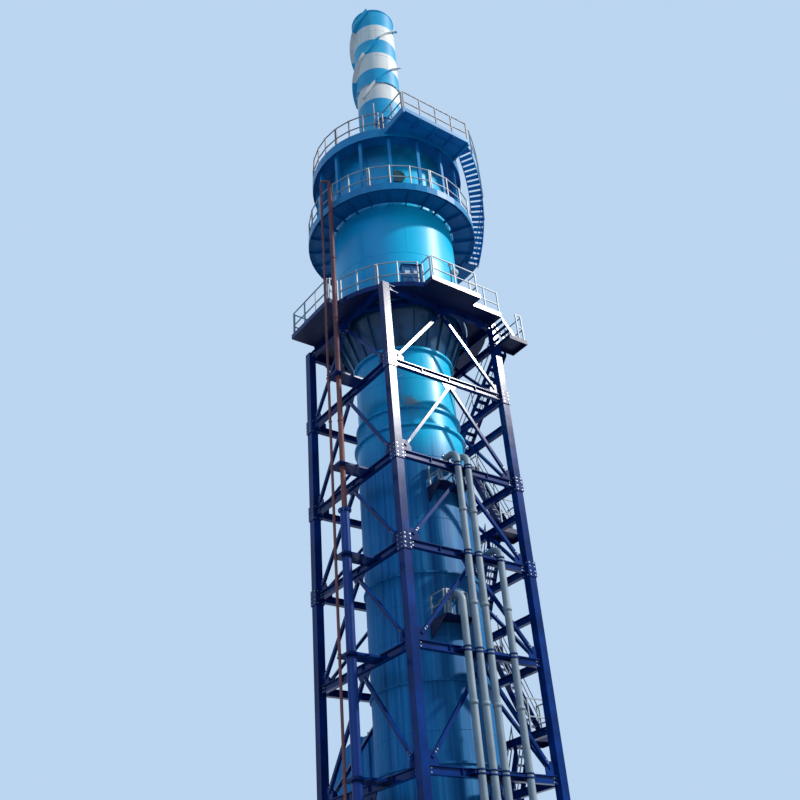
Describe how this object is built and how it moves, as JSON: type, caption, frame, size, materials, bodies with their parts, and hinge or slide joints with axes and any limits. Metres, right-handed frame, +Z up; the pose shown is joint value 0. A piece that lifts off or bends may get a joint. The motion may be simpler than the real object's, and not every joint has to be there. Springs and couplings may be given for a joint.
{
  "type": "1:2 scale model of a wet electrostatic precipitator tower",
  "caption": "Scale model of a wet electrostatic precipitator on its absorber, in a braced steel frame, with ring decks, stairs and a banded stack.",
  "frame": {"origin": "the tower's axis at ground level, on the underside of the absorber's base plate", "axes": "+Z up along the tower; -Y is the side with the spray pipes, -X the side with the riser, +X the stair side, +Y the side with the inlet duct"},
  "size_m": [4.755, 5.675, 25.9],
  "materials": {
    "frame_blue": "satin paint",
    "vessel_blue": "gloss paint",
    "stack_paint": "gloss paint",
    "deck_steel": "satin paint",
    "rail_paint": "satin paint",
    "pipe_grey": "matt coating",
    "primer_red": "matt primer",
    "cabinet_grey": "satin paint"
  },
  "bodies": {
    "root": {"absorber_base": "vessel_blue", "absorber_neck": "vessel_blue", "absorber_shell": "vessel_blue", "body_lower_shell": "vessel_blue", "body_manhole": "vessel_blue", "body_seat_ring": "vessel_blue", "body_upper_shell": "vessel_blue", "column_front_left": "frame_blue", "column_front_right": "frame_blue", "column_rear_left": "frame_blue", "column_rear_right": "frame_blue", "cone_ribs": "vessel_blue", "cone_transition": "vessel_blue", "control_cabinet": "cabinet_grey", "corner_beams": "frame_blue", "flight_railings": "rail_paint", "helical_railing": "rail_paint", "helical_stringer_inner": "deck_steel", "helical_stringer_outer": "deck_steel", "helical_treads": "deck_steel", "inlet_duct": "vessel_blue", "insulator_chambers": "vessel_blue", "landing_railings": "rail_paint", "pipe_guides": "frame_blue", "return_pipe": "primer_red", "ring_deck": "deck_steel", "ring_deck_brackets": "deck_steel", "ring_deck_edge": "vessel_blue", "ring_deck_railing": "rail_paint", "riser_guides": "frame_blue", "riser_lower": "vessel_blue", "riser_upper": "primer_red", "roof_deck": "deck_steel", "roof_edge": "vessel_blue", "roof_mast": "rail_paint", "roof_posts": "rail_paint", "roof_railing": "rail_paint", "service_platforms": "deck_steel", "service_railings": "rail_paint", "short_flight": "deck_steel", "side_frame_front": "frame_blue", "side_frame_left": "frame_blue", "side_frame_rear": "frame_blue", "side_frame_right": "frame_blue", "spray_pipe_1": "pipe_grey", "spray_pipe_2": "pipe_grey", "spray_pipe_3": "pipe_grey", "spray_pipe_4": "pipe_grey", "stack_lower": "vessel_blue", "stack_strakes": "stack_paint", "stack_upper": "stack_paint", "stair_landings": "deck_steel", "stair_stringers": "deck_steel", "stair_treads": "deck_steel", "top_deck": "deck_steel", "top_deck_edge": "frame_blue", "top_deck_railing": "rail_paint"}
  },
  "joints": []
}
